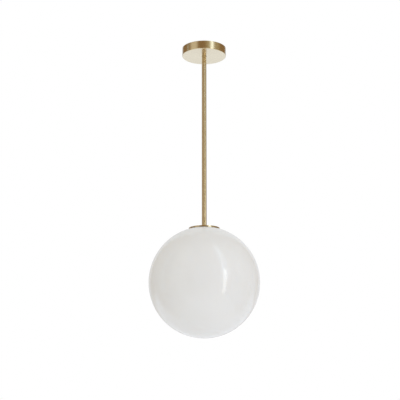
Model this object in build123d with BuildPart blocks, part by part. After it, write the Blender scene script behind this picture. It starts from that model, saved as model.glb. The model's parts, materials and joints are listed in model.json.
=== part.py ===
from build123d import *

import math
import os

# A pendant ceiling light on a rigid stem: ceiling plate, sliding canopy, brass stem tube, opal
# glass globe held by leaf springs, and an E27 lamp in its lampholder.
#
# Millimetres, +Z up. The origin is the middle of the ceiling plate's top face, so the ceiling is
# the plane z = 0 and the whole light hangs below it.

# ------------------------------------------------------------------ driving dimensions

# Ceiling plate: a pressed disc with a lanced bridge that carries the stem
PLATE_R = 55.0
PLATE_T = 1.5
TAB_FACE_X = 56.0
TAB_W = 14.0
TAB_DROP = 16.0
BRIDGE_DROP = 15.0
BRIDGE_FLAT_X = 13.0
BRIDGE_FOOT_X = 20.0
BRIDGE_W = 26.0
WINDOW_X = 23.0
WINDOW_W = 28.0
BRIDGE_BEND_R = 2.0
SLOT_X = 36.0
SLOT_LENGTH = 16.0
SLOT_R = 2.6
SUPPLY_HOLE_AT = (-30.0, 30.0)
SUPPLY_HOLE_R = 8.0

# Canopy: a spun cup that slides on the stem
CANOPY_R = 62.0
CANOPY_H = 23.0
CANOPY_WALL = 1.0
CANOPY_EDGE_R = 1.8
CANOPY_SCREW_Z = -11.0
BOSS_FACE_X = 57.5
BOSS_R = 4.5
GUIDE_BUSH_R = 7.2
GUIDE_BUSH_BORE_R = 6.58
GUIDE_FLANGE_R = 10.0
GUIDE_FLANGE_T = 1.5

# Stem and its M10x1 nipples
STEM_R = 6.5
STEM_BORE_R = 4.5
STEM_LENGTH = 504.0
NIPPLE_R = 5.0
NIPPLE_BORE_R = 3.5
NIPPLE_GRIP = 11.0
NIPPLE_HOLE_R = 5.1
TOP_NIPPLE_STAND = 6.3
BOTTOM_NIPPLE_STAND = 18.3

# Nuts and washers for the nipples
PLATE_WASHER_R = 9.0
PLATE_WASHER_T = 1.0
LOCK_WASHER_R = 8.5
LOCK_WASHER_T = 0.8
LOCK_WASHER_TEETH = 12
NUT_ACROSS_FLATS = 14.0
TOP_NUT_H = 3.5
LOWER_NUT_H = 4.0
NUT_CHAMFER = 0.6

# Wires and their bushes
WIRE_R = 1.0
WIRE_X = 1.3
END_BUSH_R = 5.6
END_BUSH_BORE_R = 2.6
END_BUSH_FLANGE_T = 1.0
END_BUSH_DEPTH = 4.0

# Terminal block: three poles in a row along X, wires along Y
POLE_PITCH = 12.0
POLE_W = 8.0
BLOCK_Y = 33.0
BLOCK_W = 17.0
BLOCK_H = 12.5
BLOCK_CORNER_R = 1.5
BLOCK_WEB_W = 9.0
BLOCK_WEB_H = 5.0
TUBE_Z = -8.0
TUBE_R = 2.75
TUBE_BORE_R = 1.8
TUBE_LENGTH = 15.0
CLAMP_SCREW_R = 1.5
CLAMP_SCREW_END_Z = -13.0
CLAMP_SCREW_SPREAD = 8.4
CLAMP_WELL_R = 1.9
BLOCK_SCREW_R = 1.25
BLOCK_SCREW_HEAD_R = 1.85
BLOCK_SCREW_HEAD_H = 1.7

# Earth point on the ceiling plate
EARTH_AT = (34.0, 17.0)
EARTH_SCREW_R = 2.0
EARTH_HEAD_R = 4.0
EARTH_HEAD_H = 2.4
RING_R = 4.2
RING_T = 0.8
RING_BARREL_R = 1.75
RING_BARREL_BORE_R = 1.1
RING_BARREL_X = (24.5, 29.6)

# Fitter: a thin inverted pan on the globe's mouth
FITTER_R = 42.5
FITTER_H = 3.8
FITTER_WALL = 1.0
FITTER_EDGE_R = 0.9
GASKET_R = 41.3
GASKET_BORE_R = 36.5
GASKET_T = 2.7
CARRIER_R = 34.5
CARRIER_T = 1.2

# Globe: blown opal glass with a round mouth and no neck
GLOBE_R = 150.0
GLOBE_WALL = 3.0
MOUTH_R = 40.0
GLOBE_SEAT_GAP = 0.3

# Leaf-spring clips that reach through the mouth and bear on the glass from inside
CLIP_COUNT = 3
CLIP_START_ANGLE = 90.0
CLIP_T = 0.5
CLIP_W = 8.0
CLIP_BEND_R = 1.5
CLIP_INNER_X = 23.0
CLIP_RIVET_X = 27.0
CLIP_RIVET_Y = 2.2
RIVET_R = 1.2
RIVET_HEAD_R = 1.9
RIVET_HEAD_H = 0.8

# Lampholder E27
HOLDER_R = 20.0
HOLDER_WALL = 2.0
HOLDER_BOSS_R = 8.5
HOLDER_BOSS_H = 10.7
HOLDER_CAP_H = 28.7
HOLDER_SHOULDER_H = 22.7
HOLDER_SKIRT_H = 38.0
HOLDER_MOUTH_R = 14.6
HOLDER_MOUTH_OUTER_R = 18.5
HOLDER_GAP = 0.8
INSERT_R = 16.8
INSERT_H = 6.5
INSERT_RISE = 3.0
TERMINAL_X = 8.5
TERMINAL_W = 6.0
TERMINAL_H = 5.0
LOCKING_SCREW_R = 1.5
SHELL_R = 13.75
SHELL_BORE_R = 13.35
SHELL_H = 33.0
SHELL_FLANGE_BORE_R = 7.0
SPRING_W = 5.0
SPRING_T = 0.5

# LED lamp with an E27 cap
LAMP_CONTACT_DEPTH = 5.0
LAMP_CONTACT_R = 4.6
LAMP_CONTACT_H = 2.0
LAMP_INSULATOR_R = 11.2
LAMP_INSULATOR_H = 5.0
LAMP_CAP_R = 13.1
LAMP_CAP_WALL = 0.4
LAMP_CAP_H = 23.0
LAMP_NECK_GRIP = 6.0
LAMP_LENGTH = 108.0
LAMP_R = 30.0
LAMP_WALL = 1.5
LAMP_HOUSING_EDGE_R = 27.5
BOARD_R = 24.0
BOARD_T = 1.6
LED_COUNT = 12
LED_RING_R = 17.0
LED_SIZE = 2.8
LED_T = 0.7

# ------------------------------------------------------------------ heights down the light

BRIDGE_BOTTOM_Z = -(BRIDGE_DROP + PLATE_T)
STEM_TOP_Z = BRIDGE_BOTTOM_Z - PLATE_WASHER_T
STEM_BOTTOM_Z = STEM_TOP_Z - STEM_LENGTH
TOP_NIPPLE_TOP_Z = STEM_TOP_Z + PLATE_WASHER_T + TOP_NIPPLE_STAND
TOP_NIPPLE_BOTTOM_Z = STEM_TOP_Z - NIPPLE_GRIP
TOP_NUT_Z = -BRIDGE_DROP + LOCK_WASHER_T

FITTER_TOP_Z = STEM_BOTTOM_Z
CARRIER_TOP_Z = FITTER_TOP_Z - FITTER_WALL
CARRIER_BOTTOM_Z = CARRIER_TOP_Z - CARRIER_T
GASKET_BOTTOM_Z = CARRIER_TOP_Z - GASKET_T
LOWER_NUT_TOP_Z = CARRIER_BOTTOM_Z - LOCK_WASHER_T
LOWER_NUT_BOTTOM_Z = LOWER_NUT_TOP_Z - LOWER_NUT_H
BOTTOM_NIPPLE_TOP_Z = STEM_BOTTOM_Z + NIPPLE_GRIP
BOTTOM_NIPPLE_BOTTOM_Z = STEM_BOTTOM_Z - BOTTOM_NIPPLE_STAND

GLOBE_MID_R = GLOBE_R - GLOBE_WALL / 2
MOUTH_RISE = math.sqrt(GLOBE_MID_R**2 - MOUTH_R**2)
GLOBE_Z = GASKET_BOTTOM_Z - GLOBE_SEAT_GAP - MOUTH_RISE - GLOBE_WALL / 2

HOLDER_TOP_Z = LOWER_NUT_BOTTOM_Z - HOLDER_GAP
HOLDER_BOSS_Z = HOLDER_TOP_Z - HOLDER_BOSS_H
HOLDER_SHOULDER_Z = HOLDER_TOP_Z - HOLDER_SHOULDER_H
HOLDER_JOINT_Z = HOLDER_TOP_Z - HOLDER_CAP_H
HOLDER_MOUTH_Z = HOLDER_JOINT_Z - HOLDER_SKIRT_H
INSERT_TOP_Z = HOLDER_JOINT_Z + INSERT_RISE
INSERT_BOTTOM_Z = INSERT_TOP_Z - INSERT_H
SHELL_BOTTOM_Z = INSERT_BOTTOM_Z - SHELL_H

LAMP_TOP_Z = INSERT_BOTTOM_Z - LAMP_CONTACT_DEPTH
LAMP_INSULATOR_Z = LAMP_TOP_Z - LAMP_CONTACT_H
LAMP_CAP_TOP_Z = LAMP_INSULATOR_Z - LAMP_INSULATOR_H
LAMP_CAP_BOTTOM_Z = LAMP_CAP_TOP_Z - LAMP_CAP_H
LAMP_TIP_Z = LAMP_TOP_Z - LAMP_LENGTH
LAMP_DOME_Z = LAMP_TIP_Z + LAMP_R
LAMP_EDGE_Z = LAMP_DOME_Z + math.sqrt(LAMP_R**2 - LAMP_HOUSING_EDGE_R**2)

POLE_XS = [-POLE_PITCH, 0.0, POLE_PITCH]
BLOCK_BOTTOM_Z = -(PLATE_T + BLOCK_H)
BLOCK_WEB_Z = -(PLATE_T + BLOCK_WEB_H)
BLOCK_SCREWS = [(-POLE_PITCH / 2, BLOCK_Y), (POLE_PITCH / 2, BLOCK_Y)]
CLAMP_SCREWS = [
    (x, BLOCK_Y + side * CLAMP_SCREW_SPREAD / 2) for x in POLE_XS for side in (-1, 1)
]
CUT = 1.0  # how far a cutting shape runs past the face that it cuts

# ------------------------------------------------------------------ repeated kinds of piece


def save(piece, name):
    """Labels a finished piece and writes its STEP file."""
    piece.part.label = name
    export_step(piece.part, f"parts/{name}.step")


def ring(outer_r, bore_r, top_z, height):
    """A plain round washer, bush or tube about the Z axis."""
    with BuildPart() as piece:
        with BuildSketch(Plane.XY.offset(top_z - height)):
            Circle(outer_r)
            Circle(bore_r, mode=Mode.SUBTRACT)
        extrude(amount=height)
    return piece


def turned(outline):
    """A solid turned about the Z axis from a closed outline of (radius, height) points."""
    with BuildPart() as piece:
        with BuildSketch(Plane.XZ):
            with BuildLine():
                Polyline(*outline, close=True)
            make_face()
        revolve(axis=Axis.Z)
    return piece


def hex_nut(top_z, height):
    """An M10x1 hexagon nut, chamfered on its top and bottom corners."""
    with BuildPart() as nut:
        with BuildSketch(Plane.XY.offset(top_z - height)):
            RegularPolygon(NUT_ACROSS_FLATS / 2, 6, major_radius=False)
        extrude(amount=height)
        with BuildSketch(Plane.XY.offset(top_z - height)):
            Circle(NUT_ACROSS_FLATS / 2 + NUT_CHAMFER)
        extrude(amount=height, mode=Mode.INTERSECT)
        with Locations((0, 0, top_z)):
            Hole(NIPPLE_R)
    return nut


def lock_washer(top_z, outer_r, bore_r):
    """A washer with outward teeth, flat, as it is when the nut is tight."""
    with BuildPart() as washer:
        with BuildSketch(Plane.XY.offset(top_z - LOCK_WASHER_T)):
            Circle(outer_r)
            Circle(bore_r, mode=Mode.SUBTRACT)
            with PolarLocations(outer_r, LOCK_WASHER_TEETH):
                Rectangle(outer_r * 0.28, outer_r * 0.16, mode=Mode.SUBTRACT)
        extrude(amount=LOCK_WASHER_T)
    return washer


def bent_strip(route, bend_r, thickness, width):
    """A strip of sheet metal bent along a route of (x, z) points, with its width along Y."""
    with BuildPart() as strip:
        with BuildSketch(Plane.XZ):
            with BuildLine():
                FilletPolyline(*route, radius=bend_r)
            trace(line_width=thickness)
        extrude(amount=width / 2, both=True)
    return strip


def slotted_screw(centres, shank_r, shank_top_z, shank_bottom_z, head_r=0.0, head_h=0.0):
    """Upright screws, head down, with a driver slot; a head radius of 0 makes grub screws."""
    end_z = shank_bottom_z - head_h
    with BuildPart() as screws:
        with BuildSketch(Plane.XY.offset(shank_bottom_z)):
            with Locations(*centres):
                Circle(shank_r)
        extrude(amount=shank_top_z - shank_bottom_z)
        if head_h:
            with BuildSketch(Plane.XY.offset(end_z)):
                with Locations(*centres):
                    Circle(head_r)
            extrude(amount=head_h)
        with BuildSketch(Plane.XY.offset(end_z)):
            with Locations(*centres):
                Rectangle(2 * max(shank_r, head_r) + CUT, shank_r * 0.4)
        extrude(amount=shank_r * 0.6, mode=Mode.SUBTRACT)
    return screws


def bend_radii(route):
    """The radius of each bend of a wire: as large as the two runs beside it allow."""
    radii = []
    for before, corner, after in zip(route, route[1:], route[2:]):
        run_in = Vector(corner) - Vector(before)
        run_out = Vector(after) - Vector(corner)
        turn = math.radians(run_in.get_angle(run_out))
        radii.append(0.45 * min(run_in.length, run_out.length) / math.tan(turn / 2))
    return radii


def wire(name, route):
    """An insulated wire along straight runs joined by tangent arcs."""
    radii = bend_radii(route)
    with BuildPart() as piece:
        with BuildLine() as line:
            FilletPolyline(*route, radius=radii)
        with BuildSketch(Plane(route[0], z_dir=Vector(route[1]) - Vector(route[0]))):
            Circle(WIRE_R)
        sweep()
    length = sum(edge.length for edge in line.edges())
    expected = math.pi * WIRE_R**2 * length
    print(name, "bend radii", [round(r, 1) for r in radii], "length", round(length, 1))
    print(name, "volume", round(piece.part.volume, 1), "section times length", round(expected, 1))
    save(piece, name)


# ------------------------------------------------------------------ ceiling plate


def make_ceiling_plate():
    bridge_z = -(BRIDGE_DROP + PLATE_T / 2)
    foot_z = -PLATE_T / 2
    bridge = bent_strip(
        [
            (-WINDOW_X - PLATE_T, foot_z),
            (-BRIDGE_FOOT_X, foot_z),
            (-BRIDGE_FLAT_X, bridge_z),
            (BRIDGE_FLAT_X, bridge_z),
            (BRIDGE_FOOT_X, foot_z),
            (WINDOW_X + PLATE_T, foot_z),
        ],
        BRIDGE_BEND_R,
        PLATE_T,
        BRIDGE_W,
    )
    with BuildPart() as ceiling_plate:
        with BuildSketch(Plane.XY.offset(-PLATE_T)):
            Circle(PLATE_R)
            Rectangle(2 * TAB_FACE_X, TAB_W)
            Rectangle(2 * WINDOW_X, WINDOW_W, mode=Mode.SUBTRACT)
            with Locations((-SLOT_X, 0), (SLOT_X, 0)):
                SlotOverall(SLOT_LENGTH, 2 * SLOT_R, mode=Mode.SUBTRACT)
            with Locations(SUPPLY_HOLE_AT):
                Circle(SUPPLY_HOLE_R, mode=Mode.SUBTRACT)
            with Locations(EARTH_AT):
                Circle(EARTH_SCREW_R, mode=Mode.SUBTRACT)
            with Locations(*BLOCK_SCREWS):
                Circle(BLOCK_SCREW_R, mode=Mode.SUBTRACT)
        extrude(amount=PLATE_T)
        with BuildSketch(Plane.XY.offset(-TAB_DROP)):
            with Locations(*[(side * (TAB_FACE_X - PLATE_T / 2), 0) for side in (-1, 1)]):
                Rectangle(PLATE_T, TAB_W)
        extrude(amount=TAB_DROP)
        add(bridge.part)
        with Locations((0, 0, -BRIDGE_DROP)):
            Hole(NIPPLE_HOLE_R, depth=2 * PLATE_T)
    save(ceiling_plate, "ceiling_plate")


def make_cable_entry_bush():
    flange_r = SUPPLY_HOLE_R + 2.5
    bore_r = SUPPLY_HOLE_R - 1.5
    with BuildPart() as bush:
        with BuildSketch(Plane.XY.offset(-2 * PLATE_T)):
            with Locations(SUPPLY_HOLE_AT):
                Circle(flange_r)
        extrude(amount=PLATE_T)
        with BuildSketch(Plane.XY.offset(-PLATE_T)):
            with Locations(SUPPLY_HOLE_AT):
                Circle(SUPPLY_HOLE_R)
        extrude(amount=PLATE_T)
        with BuildSketch(Plane.XY):
            with Locations(SUPPLY_HOLE_AT):
                Circle(bore_r)
        extrude(amount=-2 * PLATE_T, mode=Mode.SUBTRACT)
    save(bush, "cable_entry_bush")


# ------------------------------------------------------------------ terminal block


def make_terminal_block():
    with BuildPart() as body:
        with BuildSketch(Plane.XY.offset(BLOCK_BOTTOM_Z)):
            with Locations(*[(x, BLOCK_Y) for x in POLE_XS]):
                RectangleRounded(POLE_W, BLOCK_W, BLOCK_CORNER_R)
        extrude(amount=BLOCK_H)
        with BuildSketch(Plane.XY.offset(BLOCK_WEB_Z)):
            with Locations((0, BLOCK_Y)):
                Rectangle(2 * POLE_PITCH, BLOCK_WEB_W)
        extrude(amount=BLOCK_WEB_H)
        with BuildSketch(Plane.XZ.offset(-(BLOCK_Y + BLOCK_W / 2 + CUT))):
            with Locations(*[(x, TUBE_Z) for x in POLE_XS]):
                Circle(TUBE_R)
        extrude(amount=BLOCK_W + 2 * CUT, mode=Mode.SUBTRACT)
        with BuildSketch(Plane.XY.offset(BLOCK_BOTTOM_Z - CUT)):
            with Locations(*CLAMP_SCREWS):
                Circle(CLAMP_WELL_R)
        extrude(amount=TUBE_Z - BLOCK_BOTTOM_Z + CUT, mode=Mode.SUBTRACT)
        with BuildSketch(Plane.XY.offset(BLOCK_BOTTOM_Z)):
            with Locations(*BLOCK_SCREWS):
                Circle(BLOCK_SCREW_R)
        extrude(amount=BLOCK_H, mode=Mode.SUBTRACT)
    save(body, "terminal_block_body")

    with BuildPart() as tubes:
        with BuildSketch(Plane.XZ.offset(-(BLOCK_Y + TUBE_LENGTH / 2))):
            with Locations(*[(x, TUBE_Z) for x in POLE_XS]):
                Circle(TUBE_R)
                Circle(TUBE_BORE_R, mode=Mode.SUBTRACT)
        extrude(amount=TUBE_LENGTH)
        with BuildSketch(Plane.XY.offset(TUBE_Z)):
            with Locations(*CLAMP_SCREWS):
                Circle(CLAMP_SCREW_R)
        extrude(amount=-2 * TUBE_R, mode=Mode.SUBTRACT)
    save(tubes, "terminal_block_tubes")

    clamp_tip_z = TUBE_Z - WIRE_R
    clamps = slotted_screw(CLAMP_SCREWS, CLAMP_SCREW_R, clamp_tip_z, CLAMP_SCREW_END_Z)
    save(clamps, "terminal_clamp_screws")

    fixings = slotted_screw(
        BLOCK_SCREWS, BLOCK_SCREW_R, 0.0, BLOCK_WEB_Z, BLOCK_SCREW_HEAD_R, BLOCK_SCREW_HEAD_H
    )
    save(fixings, "terminal_block_screws")


# ------------------------------------------------------------------ earth point


def make_earth_point():
    ring_bottom_z = -(PLATE_T + RING_T)
    washer_bottom_z = ring_bottom_z - LOCK_WASHER_T
    barrel_z = -PLATE_T - RING_BARREL_R
    barrel_start, barrel_end = RING_BARREL_X
    with BuildPart() as terminal:
        with BuildSketch(Plane.XY.offset(ring_bottom_z)):
            with Locations(EARTH_AT):
                Circle(RING_R)
            with Locations(((EARTH_AT[0] + barrel_end) / 2 - CUT, EARTH_AT[1])):
                Rectangle(EARTH_AT[0] - barrel_end + CUT, 2 * RING_BARREL_R)
            with Locations(EARTH_AT):
                Circle(EARTH_SCREW_R + 0.1, mode=Mode.SUBTRACT)
        extrude(amount=RING_T)
        with BuildSketch(Plane(origin=(barrel_start, EARTH_AT[1], barrel_z), z_dir=(1, 0, 0))):
            Circle(RING_BARREL_R)
        extrude(amount=barrel_end - barrel_start)
        with BuildSketch(Plane(origin=(barrel_start, EARTH_AT[1], barrel_z), z_dir=(1, 0, 0))):
            Circle(RING_BARREL_BORE_R)
        extrude(amount=barrel_end - barrel_start, mode=Mode.SUBTRACT)
    save(terminal, "earth_ring_terminal")

    with BuildPart() as washer:
        with BuildSketch(Plane.XY.offset(washer_bottom_z)):
            with Locations(EARTH_AT):
                Circle(RING_R)
                Circle(EARTH_SCREW_R + 0.1, mode=Mode.SUBTRACT)
            with Locations(EARTH_AT):
                with PolarLocations(RING_R, LOCK_WASHER_TEETH):
                    Rectangle(RING_R * 0.3, RING_R * 0.16, mode=Mode.SUBTRACT)
        extrude(amount=LOCK_WASHER_T)
    save(washer, "earth_screw_washer")

    screw = slotted_screw(
        [EARTH_AT], EARTH_SCREW_R, 0.0, washer_bottom_z, EARTH_HEAD_R, EARTH_HEAD_H
    )
    save(screw, "earth_screw")


# ------------------------------------------------------------------ canopy


def make_canopy():
    with BuildPart() as cup:
        with BuildSketch(Plane.XY.offset(-CANOPY_H)):
            Circle(CANOPY_R)
        extrude(amount=CANOPY_H)
        fillet(cup.edges().group_by(Axis.Z)[0], CANOPY_EDGE_R)
        offset(amount=-CANOPY_WALL, openings=cup.faces().sort_by(Axis.Z)[-1])
        with Locations((0, 0, -CANOPY_H)):
            Hole(GUIDE_BUSH_R)
        with BuildSketch(Plane.YZ.offset(-CANOPY_R - CUT)):
            with Locations((0, CANOPY_SCREW_Z)):
                Circle(EARTH_SCREW_R)
        extrude(amount=2 * (CANOPY_R + CUT), mode=Mode.SUBTRACT)
    save(cup, "canopy_cup")

    with BuildPart() as bush:
        with BuildSketch(Plane.XY.offset(-CANOPY_H)):
            Circle(GUIDE_BUSH_R)
        extrude(amount=CANOPY_WALL)
        with BuildSketch(Plane.XY.offset(-CANOPY_H + CANOPY_WALL)):
            Circle(GUIDE_FLANGE_R)
        extrude(amount=GUIDE_FLANGE_T)
        with Locations((0, 0, -CANOPY_H)):
            Hole(GUIDE_BUSH_BORE_R)
    save(bush, "canopy_guide_bush")

    inner_r = CANOPY_R - CANOPY_WALL
    with BuildPart() as bosses:
        for side in (-1, 1):
            with BuildSketch(Plane.YZ.offset(side * BOSS_FACE_X)):
                with Locations((0, CANOPY_SCREW_Z)):
                    Circle(BOSS_R)
                    Circle(EARTH_SCREW_R, mode=Mode.SUBTRACT)
            extrude(amount=side * (CANOPY_R - BOSS_FACE_X))
        with BuildSketch(Plane.XY.offset(-CANOPY_H)):
            Circle(inner_r)
        extrude(amount=CANOPY_H, mode=Mode.INTERSECT)
    save(bosses, "canopy_screw_bosses")

    screw_tip_x = TAB_FACE_X + 0.05
    screw_end_x = math.sqrt(CANOPY_R**2 - EARTH_SCREW_R**2) - 0.1
    with BuildPart() as grub_screws:
        for side in (-1, 1):
            with BuildSketch(Plane.YZ.offset(side * screw_tip_x)):
                with Locations((0, CANOPY_SCREW_Z)):
                    Circle(EARTH_SCREW_R)
            extrude(amount=side * (screw_end_x - screw_tip_x))
            with BuildSketch(Plane.YZ.offset(side * screw_end_x)):
                with Locations((0, CANOPY_SCREW_Z)):
                    Rectangle(2 * EARTH_SCREW_R + CUT, EARTH_SCREW_R * 0.4)
            extrude(amount=-side * EARTH_SCREW_R * 0.6, mode=Mode.SUBTRACT)
    save(grub_screws, "canopy_grub_screws")


# ------------------------------------------------------------------ stem


def make_stem():
    with BuildPart() as tube:
        with BuildSketch(Plane.XY.offset(STEM_BOTTOM_Z)):
            Circle(STEM_R)
            Circle(STEM_BORE_R, mode=Mode.SUBTRACT)
        extrude(amount=STEM_LENGTH)
        for thread_z in (STEM_BOTTOM_Z, STEM_TOP_Z - NIPPLE_GRIP):
            with BuildSketch(Plane.XY.offset(thread_z)):
                Circle(NIPPLE_R)
            extrude(amount=NIPPLE_GRIP, mode=Mode.SUBTRACT)
    save(tube, "stem_tube")

    top_nipple_h = TOP_NIPPLE_TOP_Z - TOP_NIPPLE_BOTTOM_Z
    save(ring(NIPPLE_R, NIPPLE_BORE_R, TOP_NIPPLE_TOP_Z, top_nipple_h), "stem_top_nipple")
    bottom_nipple_h = BOTTOM_NIPPLE_TOP_Z - BOTTOM_NIPPLE_BOTTOM_Z
    save(
        ring(NIPPLE_R, NIPPLE_BORE_R, BOTTOM_NIPPLE_TOP_Z, bottom_nipple_h), "stem_bottom_nipple"
    )

    washer = ring(PLATE_WASHER_R, NIPPLE_HOLE_R, BRIDGE_BOTTOM_Z, PLATE_WASHER_T)
    save(washer, "top_plate_washer")
    save(lock_washer(TOP_NUT_Z, LOCK_WASHER_R, NIPPLE_HOLE_R), "top_lock_washer")
    save(hex_nut(TOP_NUT_Z + TOP_NUT_H, TOP_NUT_H), "top_hex_nut")

    with BuildPart() as end_bush:
        with BuildSketch(Plane.XY.offset(TOP_NIPPLE_TOP_Z)):
            Circle(END_BUSH_R)
        extrude(amount=END_BUSH_FLANGE_T)
        with BuildSketch(Plane.XY.offset(TOP_NIPPLE_TOP_Z - END_BUSH_DEPTH)):
            Circle(NIPPLE_BORE_R)
        extrude(amount=END_BUSH_DEPTH)
        with Locations((0, 0, TOP_NIPPLE_TOP_Z)):
            Hole(END_BUSH_BORE_R)
    save(end_bush, "nipple_end_bush")


# ------------------------------------------------------------------ fitter and clips


def make_fitter():
    with BuildPart() as cap:
        with BuildSketch(Plane.XY.offset(FITTER_TOP_Z - FITTER_H)):
            Circle(FITTER_R)
        extrude(amount=FITTER_H)
        fillet(cap.edges().group_by(Axis.Z)[-1], FITTER_EDGE_R)
        with BuildSketch(Plane.XY.offset(FITTER_TOP_Z - FITTER_H)):
            Circle(FITTER_R - FITTER_WALL)
        extrude(amount=FITTER_H - FITTER_WALL, mode=Mode.SUBTRACT)
        with Locations((0, 0, FITTER_TOP_Z)):
            Hole(NIPPLE_HOLE_R)
    save(cap, "fitter_cap")

    save(ring(GASKET_R, GASKET_BORE_R, CARRIER_TOP_Z, GASKET_T), "globe_gasket")
    save(lock_washer(CARRIER_BOTTOM_Z, LOCK_WASHER_R, NIPPLE_HOLE_R), "lower_lock_washer")
    save(hex_nut(LOWER_NUT_TOP_Z, LOWER_NUT_H), "lower_hex_nut")


def make_globe_clips():
    clip_z = CARRIER_BOTTOM_Z - CLIP_T / 2
    mouth_inner_r = MOUTH_R - GLOBE_WALL / 2
    seat_z = GLOBE_Z + math.sqrt((GLOBE_R - GLOBE_WALL) ** 2 - GASKET_R**2)
    clip = bent_strip(
        [
            (CLIP_INNER_X, clip_z),
            (mouth_inner_r - 4.5, clip_z),
            (mouth_inner_r - 2.0, seat_z - 0.4),
            (mouth_inner_r + 3.2, seat_z - 2.2),
            (mouth_inner_r + 2.0, seat_z - 7.0),
            (mouth_inner_r - 4.0, seat_z - 18.0),
        ],
        CLIP_BEND_R,
        CLIP_T,
        CLIP_W,
    )
    rivet_spots = [(CLIP_RIVET_X, side * CLIP_RIVET_Y) for side in (-1, 1)]
    with BuildPart() as one_clip:
        add(clip.part)
        with BuildSketch(Plane.XY.offset(clip_z - CLIP_T)):
            with Locations(*rivet_spots):
                Circle(RIVET_R)
        extrude(amount=2 * CLIP_T, mode=Mode.SUBTRACT)
    with BuildPart() as clips:
        with PolarLocations(0, CLIP_COUNT, start_angle=CLIP_START_ANGLE):
            add(one_clip.part)
    save(clips, "globe_clips")

    with BuildPart() as carrier:
        with BuildSketch(Plane.XY.offset(CARRIER_BOTTOM_Z)):
            Circle(CARRIER_R)
            Circle(NIPPLE_HOLE_R, mode=Mode.SUBTRACT)
            with PolarLocations(0, CLIP_COUNT, start_angle=CLIP_START_ANGLE):
                with Locations(*rivet_spots):
                    Circle(RIVET_R, mode=Mode.SUBTRACT)
        extrude(amount=CARRIER_T)
    save(carrier, "clip_carrier")

    with BuildPart() as rivets:
        with BuildSketch(Plane.XY.offset(CARRIER_BOTTOM_Z - CLIP_T)):
            with PolarLocations(0, CLIP_COUNT, start_angle=CLIP_START_ANGLE):
                with Locations(*rivet_spots):
                    Circle(RIVET_R)
        extrude(amount=CARRIER_T + CLIP_T)
        with BuildSketch(Plane.XY.offset(CARRIER_BOTTOM_Z - CLIP_T - RIVET_HEAD_H)):
            with PolarLocations(0, CLIP_COUNT, start_angle=CLIP_START_ANGLE):
                with Locations(*rivet_spots):
                    Circle(RIVET_HEAD_R)
        extrude(amount=RIVET_HEAD_H)
    save(rivets, "clip_rivets")


# ------------------------------------------------------------------ globe


def make_globe():
    inner_r = GLOBE_R - GLOBE_WALL
    sweep_angle = 180 - math.degrees(math.asin(MOUTH_R / GLOBE_MID_R))
    with BuildPart() as globe:
        with BuildSketch(Plane.XZ):
            with BuildLine():
                CenterArc((0, GLOBE_Z), GLOBE_R, -90, sweep_angle)
                CenterArc((MOUTH_R, GLOBE_Z + MOUTH_RISE), GLOBE_WALL / 2, sweep_angle - 90, 180)
                CenterArc((0, GLOBE_Z), inner_r, -90, sweep_angle)
                Line((0, GLOBE_Z - inner_r), (0, GLOBE_Z - GLOBE_R))
            make_face()
        revolve(axis=Axis.Z)
    save(globe, "glass_globe")


# ------------------------------------------------------------------ lampholder


def make_lampholder():
    cap = turned(
        [
            (NIPPLE_R, HOLDER_TOP_Z),
            (HOLDER_BOSS_R, HOLDER_TOP_Z),
            (HOLDER_BOSS_R + 0.6, HOLDER_BOSS_Z + 1.5),
            (HOLDER_R - 4.5, HOLDER_SHOULDER_Z + 5.0),
            (HOLDER_R, HOLDER_SHOULDER_Z),
            (HOLDER_R, HOLDER_JOINT_Z),
            (HOLDER_R - HOLDER_WALL, HOLDER_JOINT_Z),
            (HOLDER_R - HOLDER_WALL, HOLDER_SHOULDER_Z - 0.8),
            (HOLDER_R - 6.0, HOLDER_SHOULDER_Z + 3.2),
            (NIPPLE_R + 2.0, HOLDER_BOSS_Z - 1.0),
            (NIPPLE_R, HOLDER_BOSS_Z),
        ]
    )
    screw_z = (HOLDER_TOP_Z + HOLDER_BOSS_Z) / 2 + CUT
    with BuildPart() as drilled_cap:
        add(cap.part)
        with BuildSketch(Plane.YZ):
            with Locations((0, screw_z)):
                Circle(LOCKING_SCREW_R)
        extrude(amount=HOLDER_R, mode=Mode.SUBTRACT)
    save(drilled_cap, "lampholder_cap")

    with BuildPart() as locking_screw:
        with BuildSketch(Plane.YZ.offset(NIPPLE_R)):
            with Locations((0, screw_z)):
                Circle(LOCKING_SCREW_R)
        extrude(amount=HOLDER_BOSS_R - NIPPLE_R)
        with BuildSketch(Plane.YZ.offset(HOLDER_BOSS_R)):
            with Locations((0, screw_z)):
                Rectangle(2 * LOCKING_SCREW_R + CUT, LOCKING_SCREW_R * 0.4)
        extrude(amount=-LOCKING_SCREW_R * 0.6, mode=Mode.SUBTRACT)
        with BuildSketch(Plane.XY.offset(HOLDER_BOSS_Z)):
            Circle(NIPPLE_R)
        extrude(amount=HOLDER_BOSS_H, mode=Mode.SUBTRACT)
    save(locking_screw, "lampholder_locking_screw")

    skirt = turned(
        [
            (HOLDER_R, HOLDER_JOINT_Z),
            (HOLDER_R, HOLDER_JOINT_Z - 10.0),
            (HOLDER_MOUTH_OUTER_R, HOLDER_MOUTH_Z + 1.0),
            (HOLDER_MOUTH_OUTER_R - 1.0, HOLDER_MOUTH_Z),
            (HOLDER_MOUTH_R, HOLDER_MOUTH_Z),
            (HOLDER_MOUTH_R, INSERT_BOTTOM_Z),
            (INSERT_R, INSERT_BOTTOM_Z),
            (INSERT_R, HOLDER_JOINT_Z),
        ]
    )
    save(skirt, "lampholder_skirt")


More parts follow.
